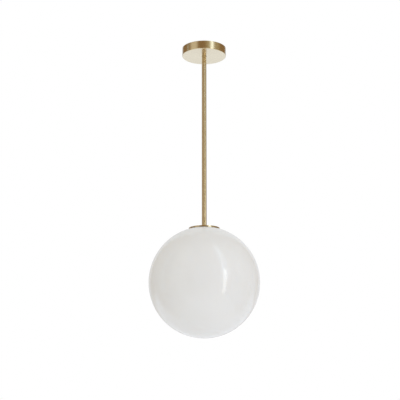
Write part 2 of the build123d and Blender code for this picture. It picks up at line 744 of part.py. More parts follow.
def make_lampholder_contacts():
    terminals_at = [(-TERMINAL_X, 0), (TERMINAL_X, 0)]
    wire_hole_r = WIRE_R + 0.1
    shell_rivet_r = 10.0
    rivets_at = [(0, -shell_rivet_r), (0, shell_rivet_r)]
    with BuildPart() as insert:
        with BuildSketch(Plane.XY.offset(INSERT_BOTTOM_Z)):
            Circle(INSERT_R)
            with Locations(*rivets_at):
                Circle(RIVET_R, mode=Mode.SUBTRACT)
        extrude(amount=INSERT_H)
    save(insert, "lampholder_insert")

    terminal_mid_z = INSERT_TOP_Z + TERMINAL_H / 2
    with BuildPart() as terminals:
        with BuildSketch(Plane.XY.offset(INSERT_TOP_Z)):
            with Locations(*terminals_at):
                Rectangle(TERMINAL_W, TERMINAL_W)
                Circle(wire_hole_r, mode=Mode.SUBTRACT)
        extrude(amount=TERMINAL_H)
        with BuildSketch(Plane.XZ):
            with Locations(*[(x, terminal_mid_z) for x, _ in terminals_at]):
                Circle(LOCKING_SCREW_R)
        extrude(amount=TERMINAL_W, mode=Mode.SUBTRACT)
    save(terminals, "lampholder_terminals")

    with BuildPart() as terminal_screws:
        with BuildSketch(Plane.XZ.offset(WIRE_R + 0.1)):
            with Locations(*[(x, terminal_mid_z) for x, _ in terminals_at]):
                Circle(LOCKING_SCREW_R)
        extrude(amount=TERMINAL_W / 2 + 0.5)
        with BuildSketch(Plane.XZ.offset(WIRE_R + TERMINAL_W / 2 + 0.6)):
            with Locations(*[(x, terminal_mid_z) for x, _ in terminals_at]):
                Circle(LOCKING_SCREW_R + 0.9)
        extrude(amount=LOCKING_SCREW_R)
        with BuildSketch(Plane.XZ.offset(WIRE_R + TERMINAL_W / 2 + 0.6 + LOCKING_SCREW_R)):
            with Locations(*[(x, terminal_mid_z) for x, _ in terminals_at]):
                Rectangle(4 * LOCKING_SCREW_R, LOCKING_SCREW_R * 0.4)
        extrude(amount=-LOCKING_SCREW_R * 0.5, mode=Mode.SUBTRACT)
    save(terminal_screws, "lampholder_terminal_screws")

    flange_z = INSERT_BOTTOM_Z - (SHELL_R - SHELL_BORE_R)
    with BuildPart() as shell:
        with BuildSketch(Plane.XY.offset(SHELL_BOTTOM_Z)):
            Circle(SHELL_R)
        extrude(amount=SHELL_H)
        with BuildSketch(Plane.XY.offset(SHELL_BOTTOM_Z)):
            Circle(SHELL_BORE_R)
        extrude(amount=flange_z - SHELL_BOTTOM_Z, mode=Mode.SUBTRACT)
        with BuildSketch(Plane.XY.offset(flange_z)):
            Circle(SHELL_FLANGE_BORE_R)
            with Locations(*rivets_at):
                Circle(RIVET_R)
        extrude(amount=INSERT_BOTTOM_Z - flange_z, mode=Mode.SUBTRACT)
    save(shell, "lampholder_screw_shell")

    with BuildPart() as rivets:
        with BuildSketch(Plane.XY.offset(flange_z)):
            with Locations(*rivets_at):
                Circle(RIVET_R)
        extrude(amount=INSERT_TOP_Z - flange_z)
        for head_z in (flange_z - RIVET_HEAD_H, INSERT_TOP_Z):
            with BuildSketch(Plane.XY.offset(head_z)):
                with Locations(*rivets_at):
                    Circle(RIVET_HEAD_R)
            extrude(amount=RIVET_HEAD_H)
    save(rivets, "lampholder_rivets")

    spring_top_z = INSERT_BOTTOM_Z - SPRING_T / 2
    spring = bent_strip(
        [
            (-6.0, spring_top_z),
            (5.0, spring_top_z),
            (6.2, spring_top_z - 1.8),
            (-1.0, LAMP_TOP_Z + 0.3 + SPRING_T / 2),
            (-5.5, LAMP_TOP_Z + 1.6),
        ],
        0.7,
        SPRING_T,
        SPRING_W,
    )
    save(spring, "lampholder_centre_spring")


# ------------------------------------------------------------------ wires


def make_wires():
    tube_end_y = BLOCK_Y - 1.5
    lamp_end_z = INSERT_TOP_Z + 0.8
    for name, pole_x, side in (("live_wire", -POLE_PITCH, -1), ("neutral_wire", 0.0, 1)):
        bore_x = side * WIRE_X
        wire(
            name,
            [
                (pole_x, tube_end_y, TUBE_Z),
                (pole_x, BLOCK_Y - BLOCK_W / 2 - 4.0, TUBE_Z),
                (bore_x + 0.45 * (pole_x - bore_x), 11.5, -3.0),
                (bore_x + 0.13 * (pole_x - bore_x), 4.4, -2.6),
                (bore_x, 0.0, -7.4),
                (bore_x, 0.0, HOLDER_BOSS_Z - 3.0),
                (side * TERMINAL_X, 0.0, INSERT_TOP_Z + TERMINAL_H + 2.8),
                (side * TERMINAL_X, 0.0, lamp_end_z),
            ],
        )
    barrel_z = -PLATE_T - RING_BARREL_R
    wire(
        "earth_wire",
        [
            (POLE_PITCH, tube_end_y, TUBE_Z),
            (POLE_PITCH, BLOCK_Y - BLOCK_W / 2 - 3.0, TUBE_Z),
            (POLE_PITCH + 4.5, EARTH_AT[1] - 0.3, -5.2),
            (RING_BARREL_X[0] - 2.5, EARTH_AT[1], barrel_z),
            (RING_BARREL_X[1] - CUT, EARTH_AT[1], barrel_z),
        ],
    )


# ------------------------------------------------------------------ lamp


def make_lamp_cap():
    with BuildPart() as contact:
        with BuildSketch(Plane.XY.offset(LAMP_INSULATOR_Z)):
            Circle(LAMP_CONTACT_R)
        extrude(amount=LAMP_CONTACT_H)
        fillet(contact.edges().group_by(Axis.Z)[-1], LAMP_CONTACT_H / 3)
    save(contact, "bulb_centre_contact")

    insulator = turned(
        [
            (0, LAMP_INSULATOR_Z),
            (LAMP_CONTACT_R + 0.8, LAMP_INSULATOR_Z),
            (LAMP_INSULATOR_R, LAMP_CAP_TOP_Z),
            (0, LAMP_CAP_TOP_Z),
        ]
    )
    save(insulator, "bulb_cap_insulator")

    shoulder_z = LAMP_CAP_TOP_Z - (LAMP_CAP_R - LAMP_INSULATOR_R)
    inner_r = LAMP_CAP_R - LAMP_CAP_WALL
    cap = turned(
        [
            (LAMP_INSULATOR_R - 2.0, LAMP_CAP_TOP_Z),
            (LAMP_INSULATOR_R, LAMP_CAP_TOP_Z),
            (LAMP_CAP_R, shoulder_z),
            (LAMP_CAP_R, LAMP_CAP_BOTTOM_Z),
            (inner_r, LAMP_CAP_BOTTOM_Z),
            (inner_r, shoulder_z),
            (LAMP_INSULATOR_R - LAMP_CAP_WALL, LAMP_CAP_TOP_Z - LAMP_CAP_WALL),
            (LAMP_INSULATOR_R - 2.0, LAMP_CAP_TOP_Z - LAMP_CAP_WALL),
        ]
    )
    save(cap, "bulb_screw_cap")


def make_lamp_housing():
    neck_r = LAMP_CAP_R - LAMP_CAP_WALL
    neck_top_z = LAMP_CAP_BOTTOM_Z + LAMP_NECK_GRIP
    throat_z = LAMP_CAP_BOTTOM_Z - LAMP_NECK_GRIP
    housing = turned(
        [
            (neck_r, neck_top_z),
            (neck_r, LAMP_CAP_BOTTOM_Z),
            (LAMP_CAP_R + 0.5, LAMP_CAP_BOTTOM_Z),
            (LAMP_CAP_R + 2.4, throat_z),
            (LAMP_HOUSING_EDGE_R, LAMP_EDGE_Z),
            (LAMP_HOUSING_EDGE_R - LAMP_WALL, LAMP_EDGE_Z),
            (LAMP_CAP_R + 2.4 - LAMP_WALL, throat_z - LAMP_WALL / 3),
            (neck_r - LAMP_WALL, LAMP_CAP_BOTTOM_Z),
            (neck_r - LAMP_WALL, neck_top_z),
        ]
    )
    save(housing, "bulb_housing")

    inner_r = LAMP_R - LAMP_WALL
    edge_rise = LAMP_EDGE_Z - LAMP_DOME_Z
    inner_edge_r = math.sqrt(inner_r**2 - edge_rise**2)
    outer_rise = math.degrees(math.asin(edge_rise / LAMP_R))
    inner_rise = math.degrees(math.asin(edge_rise / inner_r))
    with BuildPart() as envelope:
        with BuildSketch(Plane.XZ):
            with BuildLine():
                CenterArc((0, LAMP_DOME_Z), LAMP_R, -90, 90 + outer_rise)
                Line((LAMP_HOUSING_EDGE_R, LAMP_EDGE_Z), (inner_edge_r, LAMP_EDGE_Z))
                CenterArc((0, LAMP_DOME_Z), inner_r, -90, 90 + inner_rise)
                Line((0, LAMP_TIP_Z + LAMP_WALL), (0, LAMP_TIP_Z))
            make_face()
        revolve(axis=Axis.Z)
    save(envelope, "bulb_envelope")


def make_lamp_electronics():
    board_z = LAMP_EDGE_Z + LED_T
    with BuildPart() as board:
        with BuildSketch(Plane.XY.offset(board_z)):
            Circle(BOARD_R)
            with GridLocations(2 * LED_RING_R / 3, 0, 2, 1):
                Circle(WIRE_R, mode=Mode.SUBTRACT)
        extrude(amount=BOARD_T)
    save(board, "bulb_led_board")

    with BuildPart() as chips:
        with BuildSketch(Plane.XY.offset(LAMP_EDGE_Z)):
            with PolarLocations(LED_RING_R, LED_COUNT):
                Rectangle(LED_SIZE, LED_SIZE)
        extrude(amount=LED_T)
    save(chips, "bulb_led_chips")

    driver_w = 18.0
    driver_h = 24.0
    driver_z = board_z + BOARD_T + CUT
    with BuildPart() as driver:
        with BuildSketch(Plane.XZ):
            with Locations((0, driver_z + driver_h / 2)):
                Rectangle(driver_w, driver_h)
        extrude(amount=BOARD_T / 2, both=True)
        with BuildSketch(Plane.XZ.offset(BOARD_T / 2)):
            with Locations((-driver_w / 5, driver_z + driver_h / 3)):
                RectangleRounded(driver_w / 3, driver_h / 3, CUT)
        extrude(amount=4 * BOARD_T)
        with BuildSketch(Plane.XZ.offset(-BOARD_T / 2)):
            with Locations((driver_w / 6, driver_z + driver_h / 2)):
                Circle(driver_w / 6)
        extrude(amount=-4 * BOARD_T)
    save(driver, "bulb_driver_board")


# ------------------------------------------------------------------ the whole light

os.makedirs("parts", exist_ok=True)
make_ceiling_plate()
make_cable_entry_bush()
make_terminal_block()
make_earth_point()
make_canopy()
make_stem()
make_fitter()
make_globe_clips()
make_globe()
make_lampholder()
make_lampholder_contacts()
make_wires()
make_lamp_cap()
make_lamp_housing()
make_lamp_electronics()
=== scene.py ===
import json
import math

import bmesh
import bpy
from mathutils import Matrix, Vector


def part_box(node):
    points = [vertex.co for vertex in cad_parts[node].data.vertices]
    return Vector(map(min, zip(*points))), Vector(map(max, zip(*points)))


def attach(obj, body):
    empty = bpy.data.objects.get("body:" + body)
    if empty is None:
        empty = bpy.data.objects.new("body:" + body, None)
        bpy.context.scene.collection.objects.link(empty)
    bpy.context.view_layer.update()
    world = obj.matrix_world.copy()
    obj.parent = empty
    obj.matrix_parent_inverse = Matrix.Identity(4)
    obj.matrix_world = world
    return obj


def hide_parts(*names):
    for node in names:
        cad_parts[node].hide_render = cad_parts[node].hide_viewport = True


# The looks of a rod-hung globe pendant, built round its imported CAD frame. Everything is in metres,
# in the CAD frame: +Z up, the ceiling at z = 0, the stem on the Z axis.

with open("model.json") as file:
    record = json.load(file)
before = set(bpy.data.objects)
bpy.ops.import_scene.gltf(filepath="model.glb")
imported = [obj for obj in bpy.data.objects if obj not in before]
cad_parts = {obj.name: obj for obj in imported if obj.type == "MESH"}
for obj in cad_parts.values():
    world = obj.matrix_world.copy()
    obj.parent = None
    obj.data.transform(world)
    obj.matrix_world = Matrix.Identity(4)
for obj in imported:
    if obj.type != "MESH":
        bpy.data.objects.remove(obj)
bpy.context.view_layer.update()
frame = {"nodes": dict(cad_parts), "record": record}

MM = 0.001
FULL_TURN = 2 * math.pi

# ------------------------------------------------------------------ shared sizes

SIDES_LARGE = 288
SIDES_SMALL = 96
CORNER_STEPS = 6
CORNER_LEAD = 1.3  # how far off a corner its flats' end points lie, as a share of its arc's reach
SMOOTH_ANGLE = math.radians(32)
ON_AXIS = 1e-7

CANOPY_WALL = 1.0 * MM
CANOPY_EDGE_R = 1.8 * MM
GRUB_HOLE_R = 2.0 * MM
DRILL_SIDES = 48
DRILL_LENGTH = 400 * MM
GUIDE_HOLE_R = 7.2 * MM
GUIDE_GAP = 0.08 * MM
STEM_BORE_R = 4.5 * MM
NIPPLE_BORE_R = 3.5 * MM
FITTER_WALL = 1.0 * MM
FITTER_EDGE_R = 0.9 * MM
FITTER_HOLE_R = 5.1 * MM
GASKET_BORE_R = 36.5 * MM
GASKET_EDGE_R = 1.1 * MM
GLOBE_WALL = 3.0 * MM
# Strength of the painted glow: emission on the globe's inner face, standing in for light through the
# glass
GLOBE_PAINTED_GLOW = 0.14
GLOBE_STEPS = 150
GLOBE_INSIDE_STEPS = 100
GLOBE_RIM_STEPS = 12
FINE_EDGE_R = 0.25 * MM
E27_PITCH = 3.629 * MM
E27_DEPTH = 1.0 * MM
M10_PITCH = 1.0 * MM
M10_DEPTH = 0.5 * MM
STEPS_PER_E27_TURN = 16
STEPS_PER_M10_TURN = 8
NUT_BORE_R = 4.7 * MM
NUT_LEAD = 0.5 * MM

# Lampholder: drops are measured down from its cap's top, and flutes down from its joint
HOLDER_WALL = 2.0 * MM
HOLDER_BORE_R = 5.0 * MM
HOLDER_BOSS_R = 8.5 * MM
HOLDER_BOSS_DROP = 10.7 * MM
HOLDER_SHOULDER_DROP = 22.7 * MM
SKIRT_FLUTES = 24
SKIRT_FLUTE_DEPTH = 0.35 * MM
SKIRT_FLUTES_START = 1.5 * MM
SKIRT_FLUTES_END = 10.0 * MM
SKIRT_LIP_R = 18.5 * MM
SKIRT_MOUTH_R = 14.6 * MM
SKIRT_SEAT_R = 16.8 * MM
SHELL_SHEET = 0.4 * MM
SHELL_FLANGE_R = 7.0 * MM
SHELL_TOP_PLAIN = 2.0 * MM
SHELL_BOTTOM_PLAIN = 0.6 * MM

# Lamp: its cap is rolled from sheet, with a plain collar below the thread and a land round its neck
LAMP_SHEET = 0.4 * MM
LAMP_COLLAR = 3.5 * MM
LAMP_LAND = 2.0 * MM
LAMP_WALL = 1.5 * MM
LAMP_THROAT_GAP = 0.5 * MM
LAMP_CONTACT_STEPS = 10
LAMP_SIDE_STEPS = 32
LAMP_DOME_STEPS = 64
LAMP_DOME_INSIDE_STEPS = 48

# Camera: in front of the light and below it, looking up, with the light a little to its right
CAMERA_AT = (-0.0116, -2.671, -1.0802)
CAMERA_PITCH = 13.43
CAMERA_LENS = 90.0

FLOOR_Z = -2.4
FLOOR_R = 9.0
FLOOR_NEAR_R = 0.8
FLOOR_FAR_R = 2.4

SLOT = {part["node"]: part["material_slot"] for part in frame["record"]["subparts"]}
BODIES = frame["record"]["behaviour"]["bodies"]
BODY = {node: body for body, members in BODIES.items() for node in members}


# ------------------------------------------------------------------ mesh helpers


def round_size(node):
    """The outer radius, bottom and top of a CAD node that is round about the stem's axis."""
    low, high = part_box(node)
    return (high[0] - low[0]) / 2, low[2], high[2]


def rounded(outline):
    """Points along an outline of (radius, height, corner radius), with its corners made arcs."""
    points = []
    for index, (x, z, corner_r) in enumerate(outline):
        corner = Vector((x, z))
        if corner_r == 0:
            points.append(corner)
            continue
        back = (Vector(outline[index - 1][:2]) - corner).normalized()
        ahead = (Vector(outline[(index + 1) % len(outline)][:2]) - corner).normalized()
        half_angle = back.angle(ahead) / 2
        reach = corner_r / math.tan(half_angle)
        centre = corner + (back + ahead).normalized() * (corner_r / math.sin(half_angle))
        start = back * reach + corner - centre
        end = ahead * reach + corner - centre
        points.append(corner + back * reach * CORNER_LEAD)
        for step in range(CORNER_STEPS + 1):
            spoke = start.lerp(end, step / CORNER_STEPS).normalized() * corner_r
            points.append(centre + spoke)
        points.append(corner + ahead * reach * CORNER_LEAD)
    return [(point.x, point.y) for point in points]


def arc(centre, radius, start, end, steps):
    """Points on a circle in the (radius, height) plane; angles in degrees from the radius axis."""
    turns = [math.radians(start + (end - start) * i / steps) for i in range(steps + 1)]
    return [(centre[0] + radius * math.cos(t), centre[1] + radius * math.sin(t)) for t in turns]


def plain(x, z, turn):
    """The shape function of a piece that is the same all round."""
    return x, z


def polar_solid(name, outline, sides, shape=plain):
    """A closed solid round the Z axis. shape moves an outline point according to its angle."""
    bm = bmesh.new()
    rings = []
    for x, z in outline:
        if x < ON_AXIS:
            rings.append([bm.verts.new((0, 0, z))] * sides)
            continue
        ring = []
        for side in range(sides):
            turn = FULL_TURN * side / sides
            radius, height = shape(x, z, turn)
            ring.append(bm.verts.new((radius * math.cos(turn), radius * math.sin(turn), height)))
        rings.append(ring)
    for upper, lower in zip(rings, rings[1:] + rings[:1]):
        for side in range(sides):
            after = (side + 1) % sides
            corners = [upper[side], lower[side], lower[after], upper[after]]
            corners = list(dict.fromkeys(corners))
            if len(corners) > 2:
                bm.faces.new(corners)
    bmesh.ops.recalc_face_normals(bm, faces=bm.faces)
    return finished(name, bm)


def finished(name, bm):
    """Makes the object of a bmesh, smooth across its gentle edges."""
    mesh = bpy.data.meshes.new(name)
    bm.to_mesh(mesh)
    bm.free()
    piece = bpy.data.objects.new(name, mesh)
    bpy.context.collection.objects.link(piece)
    mesh.polygons.foreach_set("use_smooth", [True] * len(mesh.polygons))
    mesh.set_sharp_from_angle(angle=SMOOTH_ANGLE)
    return piece


def dress(piece, node, materials):
    piece.data.materials.clear()
    piece.data.materials.append(materials[SLOT[node]])


def stand_for(piece, node, materials):
    """The piece takes the place of a CAD node, on its body and in its material slot."""
    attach(piece, BODY[node])
    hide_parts(node)
    dress(piece, node, materials)


# ------------------------------------------------------------------ material helpers


class Nodes:
    """A node tree, with short ways to add nodes and join them."""

    def __init__(self, tree):
        self.tree = tree

    def node(self, kind, inputs=None, **properties):
        """Adds a node. Its inputs are values, or outputs of other nodes to join."""
        added = self.tree.nodes.new("ShaderNode" + kind)
        for key, value in properties.items():
            setattr(added, key, value)
        for key, value in (inputs or {}).items():
            self.feed(added, key, value)
        return added

    def feed(self, node, key, value):
        """Sets an input of a node, or joins it to an output."""
        if isinstance(value, bpy.types.NodeSocket):
            self.tree.links.new(value, node.inputs[key])
        else:
            node.inputs[key].default_value = value

    def math(self, operation, first, second=0.0):
        return self.node("Math", {0: first, 1: second}, operation=operation).outputs[0]

    def ramp(self, value, low, high, to_low=0.0, to_high=1.0):
        """A smooth step of value from to_low at low to to_high at high."""
        inputs = {"Value": value, "From Min": low, "From Max": high}
        inputs.update({"To Min": to_low, "To Max": to_high})
        step = self.node("MapRange", inputs, interpolation_type="SMOOTHSTEP")
        return step.outputs["Result"]

    def noise(self, vector, scale=1.0, detail=2.0):
        inputs = {"Vector": vector, "Scale": scale, "Detail": detail}
        return self.node("TexNoise", inputs).outputs[0]

    def mix(self, factor, first, second):
        """A colour between first and second. A Mix node's colour sockets are 6, 7 and 2."""
        blend = self.node("Mix", {0: factor, 6: first, 7: second}, data_type="RGBA")
        return blend.outputs[2]


class Finish(Nodes):
    """A procedural material on a Principled shader."""

    def __init__(self, name, **fixed):
        self.material = bpy.data.materials.new(name)
        self.material.use_nodes = True
        super().__init__(self.material.node_tree)
        self.shader = self.tree.nodes["Principled BSDF"]
        for key, value in fixed.items():
            self.shader.inputs[key.replace("_", " ")].default_value = value

    def place(self):
        return self.node("TexCoord").outputs["Object"]

    def round_place(self, per_turn, per_metre):
        """A place that runs slowly round the Z axis and fast along the radius and the height."""
        split = self.node("SeparateXYZ", {0: self.place()})
        x, y, z = split.outputs
        turn = self.math("ARCTAN2", y, x)
        squares = self.math("ADD", self.math("MULTIPLY", x, x), self.math("MULTIPLY", y, y))
        radius = self.math("SQRT", squares)
        inputs = {
            0: self.math("MULTIPLY", turn, per_turn),
            1: self.math("MULTIPLY", radius, per_metre),
            2: self.math("MULTIPLY", z, per_metre),
        }
        return self.node("CombineXYZ", inputs).outputs[0]

    def distance(self, point):
        """How far the shaded place is from a point."""
        inputs = {0: self.place(), 1: point}
        return self.node("VectorMath", inputs, operation="DISTANCE").outputs["Value"]

    def colour(self, value):
        self.feed(self.shader, "Base Color", value)

    def roughness(self, value):
        self.feed(self.shader, "Roughness", value)

    def bump(self, height, distance, strength=1.0):
        inputs = {"Height": height, "Distance": distance, "Strength": strength}
        self.feed(self.shader, "Normal", self.node("Bump", inputs).outputs["Normal"])


def rgb(red, green, blue):
    return (red, green, blue, 1.0)


# ------------------------------------------------------------------ metals


def brushed_brass(name, light, dark, roughness, anisotropy, line_depth):
    """Spun brass, brushed round the axis under clear lacquer, a little darker in its scratches."""
    finish = Finish(
        name,
        Metallic=1.0,
        Anisotropic=anisotropy,
        Anisotropic_Rotation=0.25,
        Coat_Weight=1.0,
        Coat_Roughness=0.16,
        Coat_IOR=1.5,
    )
    tangent = finish.node("Tangent", direction_type="RADIAL", axis="Z")
    finish.feed(finish.shader, "Tangent", tangent.outputs[0])
    lines = finish.noise(finish.round_place(0.6, 3200.0), detail=2.0)
    clouds = finish.noise(finish.place(), 30.0, 2.0)
    worn = finish.mix(0.25, lines, clouds)
    finish.colour(finish.mix(finish.ramp(worn, 0.3, 0.7), rgb(*dark), rgb(*light)))
    finish.roughness(finish.ramp(lines, 0.2, 0.8, roughness * 1.04, roughness * 0.96))
    finish.bump(lines, line_depth)
    return finish.material


def machined_metal(name, light, dark, roughness):
    """Turned or drawn metal with fine tool lines."""
    finish = Finish(name, Metallic=1.0)
    lines = finish.noise(finish.round_place(1.0, 2600.0), detail=2.0)
    stains = finish.noise(finish.place(), 90.0, 4.0)
    finish.colour(finish.mix(finish.ramp(stains, 0.35, 0.7), rgb(*light), rgb(*dark)))
    finish.roughness(finish.ramp(lines, 0.2, 0.8, roughness * 1.25, roughness * 0.8))
    finish.bump(lines, 0.01 * MM)
    return finish.material


def plated_steel(name, light, dark, tint, roughness):
    """Rolled steel with a thin zinc coat: soft grey with faint warm and blue patches."""
    finish = Finish(name, Metallic=1.0)
    patches = finish.noise(finish.place(), 60.0, 4.0)
    grain = finish.noise(finish.place(), 1500.0, 2.0)
    base = finish.mix(finish.ramp(patches, 0.35, 0.65), rgb(*dark), rgb(*light))
    hue = finish.noise(finish.place(), 24.0, 2.0)
    finish.colour(finish.mix(finish.ramp(hue, 0.5, 0.8, 0.0, 0.5), base, rgb(*tint)))
    finish.roughness(finish.ramp(patches, 0.3, 0.7, roughness * 1.3, roughness * 0.8))
    finish.bump(grain, 0.008 * MM)
    return finish.material


# ------------------------------------------------------------------ glass, plastics, ceramics


def opal_glass():
    """Blown opal glass: white, glossy, very slightly uneven in colour and surface.

    The inner face carries a faint painted glow, an emission that stands in for the light coming
    through the wall.
    """
    radius, bottom, _ = round_size("glass_globe")
    finish = Finish(
        "opal_glass",
        Emission_Color=rgb(1.0, 0.97, 0.93),
        IOR=1.5,
        Subsurface_Weight=0.35,
        Subsurface_Radius=(1.0, 0.9, 0.8),
        Subsurface_Scale=6 * MM,
        Sheen_Weight=0.7,
        Sheen_Roughness=0.5,
    )
    cloud = finish.noise(finish.place(), 7.0, 3.0)
    specks = finish.noise(finish.place(), 420.0, 1.0)
    dark_milk, light_milk = rgb(0.79, 0.79, 0.785), rgb(0.81, 0.81, 0.805)
    milk = finish.mix(finish.ramp(cloud, 0.3, 0.7), dark_milk, light_milk)
    finish.colour(finish.mix(finish.ramp(specks, 0.76, 0.8, 0.0, 0.2), milk, rgb(0.62, 0.6, 0.57)))
    finish.roughness(finish.ramp(cloud, 0.2, 0.8, 0.085, 0.06))
    finish.bump(finish.noise(finish.place(), 11.0, 1.0), 0.5 * MM, 0.5)
    inner, middle = radius - GLOBE_WALL, radius - GLOBE_WALL / 2
    # Painted glow: the inner face emits a faint light in place of light passing through the glass
    painted_glow = finish.ramp(finish.distance((0, 0, bottom + radius)), inner, middle, GLOBE_PAINTED_GLOW, 0.0)
    finish.feed(finish.shader, "Emission Strength", painted_glow)
    finish.material.cycles.emission_sampling = "NONE"
    return finish.material


def moulded(name, light, dark, roughness, grain_depth):
    """Moulded plastic, rubber or ceramic: an even colour that drifts a little, with fine grain."""
    finish = Finish(name)
    drift = finish.noise(finish.place(), 45.0, 3.0)
    grain = finish.noise(finish.place(), 1900.0, 2.0)
    finish.colour(finish.mix(finish.ramp(drift, 0.3, 0.7), rgb(*dark), rgb(*light)))
    finish.roughness(finish.ramp(grain, 0.3, 0.7, roughness * 0.85, roughness * 1.2))
    finish.bump(grain, grain_depth)
    return finish.material


def wire_sleeve(name, light, dark, stripe=None):
    """A smooth wire sleeve, with a stripe of a second colour along one side if it has one."""
    finish = Finish(name, IOR=1.5)
    drift = finish.noise(finish.place(), 300.0, 2.0)
    colour = finish.mix(drift, rgb(*dark), rgb(*light))
    if stripe:
        side = finish.node("SeparateXYZ", {0: finish.node("TexCoord").outputs["Normal"]}).outputs[2]
        colour = finish.mix(finish.ramp(side, -0.1, 0.1), colour, rgb(*stripe))
    finish.colour(colour)
    finish.roughness(finish.ramp(drift, 0.2, 0.8, 0.3, 0.42))
    finish.bump(finish.noise(finish.place(), 900.0, 1.0), 0.01 * MM)
    return finish.material


def circuit_board(name, mask, copper):
    """Solder mask over copper tracks."""
    finish = Finish(name)
    inputs = {"Vector": finish.place(), "Scale": 420.0}
    cells = finish.node("TexVoronoi", inputs, feature="DISTANCE_TO_EDGE", distance="CHEBYCHEV")
    track = finish.ramp(cells.outputs["Distance"], 0.03, 0.06)
    grain = finish.noise(finish.place(), 800.0, 2.0)
    finish.colour(finish.mix(track, rgb(*copper), rgb(*mask)))
    finish.roughness(finish.ramp(grain, 0.3, 0.7, 0.3, 0.45))
    finish.bump(track, -0.03 * MM)
    return finish.material


# Light colour, dark colour, roughness and depth of grain
MOULDINGS = {
    "nylon": ((0.78, 0.75, 0.67), (0.70, 0.67, 0.58), 0.45, 0.01 * MM),
    "guide_nylon": ((0.42, 0.31, 0.16), (0.34, 0.25, 0.12), 0.42, 0.01 * MM),
    "block_plastic": ((0.82, 0.81, 0.77), (0.75, 0.74, 0.70), 0.5, 0.02 * MM),
    "silicone": ((0.80, 0.80, 0.78), (0.72, 0.72, 0.70), 0.55, 0.01 * MM),
    "phenolic": ((0.020, 0.019, 0.018), (0.010, 0.010, 0.010), 0.22, 0.006 * MM),
    "insert_ceramic": ((0.78, 0.76, 0.69), (0.71, 0.68, 0.60), 0.16, 0.01 * MM),
    "bulb_opal": ((0.82, 0.82, 0.80), (0.79, 0.79, 0.77), 0.4, 0.006 * MM),
    "bulb_white": ((0.80, 0.80, 0.78), (0.76, 0.76, 0.74), 0.3, 0.006 * MM),
    "bulb_glass": ((0.02, 0.015, 0.03), (0.01, 0.01, 0.012), 0.12, 0.006 * MM),
    "led_yellow": ((0.85, 0.62, 0.08), (0.78, 0.52, 0.05), 0.35, 0.01 * MM),
}


def make_materials():
    """A finish for every material slot of the record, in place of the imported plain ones."""
    for packed in list(bpy.data.materials):
        bpy.data.materials.remove(packed)
    made = {name: moulded(name, *look) for name, look in MOULDINGS.items()}
    others = [
        brushed_brass(
            "satin_brass", (0.82, 0.70, 0.46), (0.80, 0.67, 0.43), 0.27, 0.35, 0.001 * MM
        ),
        machined_metal("plain_brass", (0.78, 0.60, 0.30), (0.60, 0.42, 0.19), 0.25),
        machined_metal("bulb_nickel", (0.76, 0.74, 0.70), (0.60, 0.57, 0.52), 0.2),
        plated_steel(
            "zinc_steel", (0.68, 0.69, 0.70), (0.50, 0.51, 0.53), (0.66, 0.62, 0.50), 0.34
        ),
        plated_steel(
            "spring_steel", (0.60, 0.60, 0.61), (0.44, 0.44, 0.46), (0.45, 0.42, 0.38), 0.22
        ),
        opal_glass(),
        wire_sleeve("live_sleeve", (0.16, 0.06, 0.025), (0.11, 0.04, 0.016)),
        wire_sleeve("neutral_sleeve", (0.02, 0.10, 0.40), (0.015, 0.07, 0.30)),
        wire_sleeve("earth_sleeve", (0.06, 0.33, 0.06), (0.04, 0.25, 0.04), (0.80, 0.66, 0.03)),
        circuit_board("board_white", (0.80, 0.80, 0.78), (0.70, 0.70, 0.67)),
        circuit_board("board_green", (0.01, 0.10, 0.04), (0.03, 0.17, 0.06)),
    ]
    made.update({material.name: material for material in others})
    return made


# ------------------------------------------------------------------ canopy


def cut_round_holes(piece, radius, height):
    """Drills a hole along X right through a piece at a height, so two holes in a hollow one."""
    bm = bmesh.new()
    size = {"radius1": radius, "radius2": radius, "depth": DRILL_LENGTH}
    bmesh.ops.create_cone(bm, cap_ends=True, segments=DRILL_SIDES, **size)
    mesh = bpy.data.meshes.new("drill")
    bm.to_mesh(mesh)
    bm.free()
    drill = bpy.data.objects.new("drill", mesh)
    bpy.context.collection.objects.link(drill)
    drill.rotation_euler = (0, math.pi / 2, 0)
    drill.location = (0, 0, height)
    cut = piece.modifiers.new("cut", "BOOLEAN")
    cut.operation = "DIFFERENCE"
    cut.solver = "EXACT"
    cut.object = drill
    bpy.context.view_layer.update()
    shown = piece.evaluated_get(bpy.context.evaluated_depsgraph_get())
    cut_mesh = bpy.data.meshes.new_from_object(shown)
    piece.modifiers.clear()
    cut_mesh.set_sharp_from_angle(angle=SMOOTH_ANGLE)
    piece.data = cut_mesh
    bpy.data.objects.remove(drill)


def make_canopy(materials):
    radius, bottom, top = round_size("canopy_cup")
    inside_r = radius - CANOPY_WALL
    outline = [
        (GUIDE_HOLE_R, bottom, 0),
        (radius, bottom, CANOPY_EDGE_R),
        (radius, top, FINE_EDGE_R),
        (inside_r, top, FINE_EDGE_R),
        (inside_r, bottom + CANOPY_WALL, CANOPY_EDGE_R - CANOPY_WALL),
        (GUIDE_HOLE_R, bottom + CANOPY_WALL, 0),
    ]
    cup = polar_solid("canopy", rounded(outline), SIDES_LARGE)
    screw_low, screw_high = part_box("canopy_grub_screws")
    cut_round_holes(cup, GRUB_HOLE_R, (screw_low[2] + screw_high[2]) / 2)
    stand_for(cup, "canopy_cup", materials)

    bore_r = round_size("stem_tube")[0] + GUIDE_GAP
    bush_r, bush_bottom, bush_top = round_size("canopy_guide_bush")
    flange_z = bottom + CANOPY_WALL
    outline = [
        (bore_r, bush_bottom, FINE_EDGE_R),
        (GUIDE_HOLE_R, bush_bottom, FINE_EDGE_R),
        (GUIDE_HOLE_R, flange_z, 0),
        (bush_r, flange_z, FINE_EDGE_R),
        (bush_r, bush_top, 2 * FINE_EDGE_R),
        (bore_r, bush_top, FINE_EDGE_R),
    ]
    bush = polar_solid("guide_bush", rounded(outline), SIDES_SMALL)
    stand_for(bush, "canopy_guide_bush", materials)


# ------------------------------------------------------------------ stem and fitter


